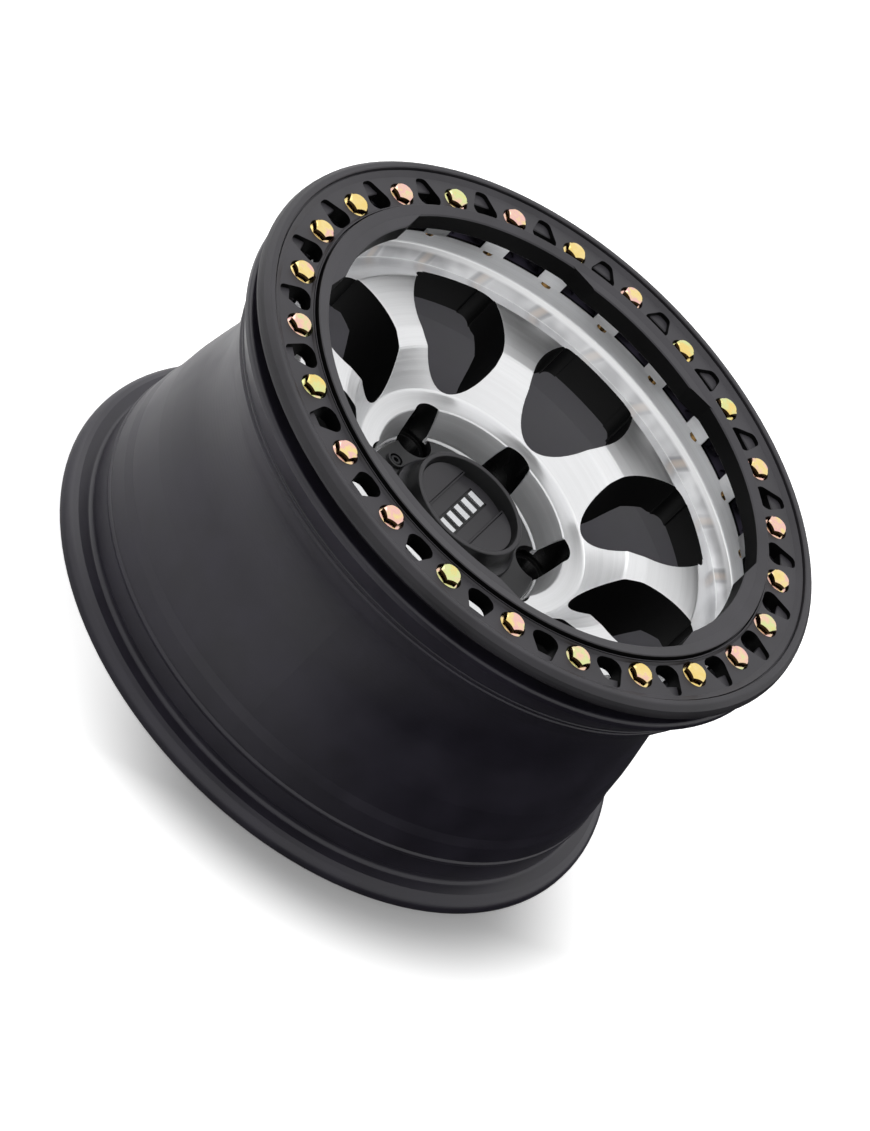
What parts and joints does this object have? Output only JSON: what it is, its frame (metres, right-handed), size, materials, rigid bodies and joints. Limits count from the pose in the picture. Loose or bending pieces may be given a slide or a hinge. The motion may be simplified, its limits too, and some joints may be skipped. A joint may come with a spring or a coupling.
{
  "type": "beadlock wheel",
  "caption": "Off-road truck wheel with machined spokes, black barrel, a bolted clamping ring for the tyre's outer bead, and a screwed centre cap with a dished dome",
  "frame": {"origin": "on the axle, in the plane of the mounting pad that meets the vehicle's hub", "axes": "+Z runs along the axle to the outboard face; +X passes through a lug hole, a window and a wide land of the clamping ring; the wheel lies on its inboard flange"},
  "size_m": [0.4719, 0.472, 0.2531],
  "materials": {
    "machined_aluminium": "machined face under clear coat, satin black barrel and window walls",
    "ring_coat": "satin dark grey powder coat on aluminium",
    "cap_black": "satin black moulding",
    "silver_bars": "plain silver bars",
    "black_screw": "black oxide",
    "yellow_zinc": "yellow zinc with a pink and green sheen"
  },
  "bodies": {
    "root": {"wheel": "machined_aluminium", "clamping_ring": "ring_coat", "cap_plate": "cap_black", "cap_dome": "cap_black", "cap_bars": "silver_bars", "cap_screw_1": "black_screw", "cap_screw_2": "black_screw", "cap_screw_3": "black_screw", "bolt_01": "yellow_zinc", "bolt_02": "yellow_zinc", "bolt_03": "yellow_zinc", "bolt_04": "yellow_zinc", "bolt_05": "yellow_zinc", "bolt_06": "yellow_zinc", "bolt_07": "yellow_zinc", "bolt_08": "yellow_zinc", "bolt_09": "yellow_zinc", "bolt_10": "yellow_zinc", "bolt_11": "yellow_zinc", "bolt_12": "yellow_zinc", "bolt_13": "yellow_zinc", "bolt_14": "yellow_zinc", "bolt_15": "yellow_zinc", "bolt_16": "yellow_zinc", "bolt_17": "yellow_zinc", "bolt_18": "yellow_zinc", "bolt_19": "yellow_zinc", "bolt_20": "yellow_zinc", "bolt_21": "yellow_zinc", "bolt_22": "yellow_zinc", "bolt_23": "yellow_zinc", "bolt_24": "yellow_zinc", "insert_01": "yellow_zinc", "insert_02": "yellow_zinc", "insert_03": "yellow_zinc", "insert_04": "yellow_zinc", "insert_05": "yellow_zinc", "insert_06": "yellow_zinc", "insert_07": "yellow_zinc", "insert_08": "yellow_zinc", "insert_09": "yellow_zinc", "insert_10": "yellow_zinc", "insert_11": "yellow_zinc", "insert_12": "yellow_zinc", "insert_13": "yellow_zinc", "insert_14": "yellow_zinc", "insert_15": "yellow_zinc", "insert_16": "yellow_zinc", "insert_17": "yellow_zinc", "insert_18": "yellow_zinc", "insert_19": "yellow_zinc", "insert_20": "yellow_zinc", "insert_21": "yellow_zinc", "insert_22": "yellow_zinc", "insert_23": "yellow_zinc", "insert_24": "yellow_zinc"}
  },
  "joints": []
}
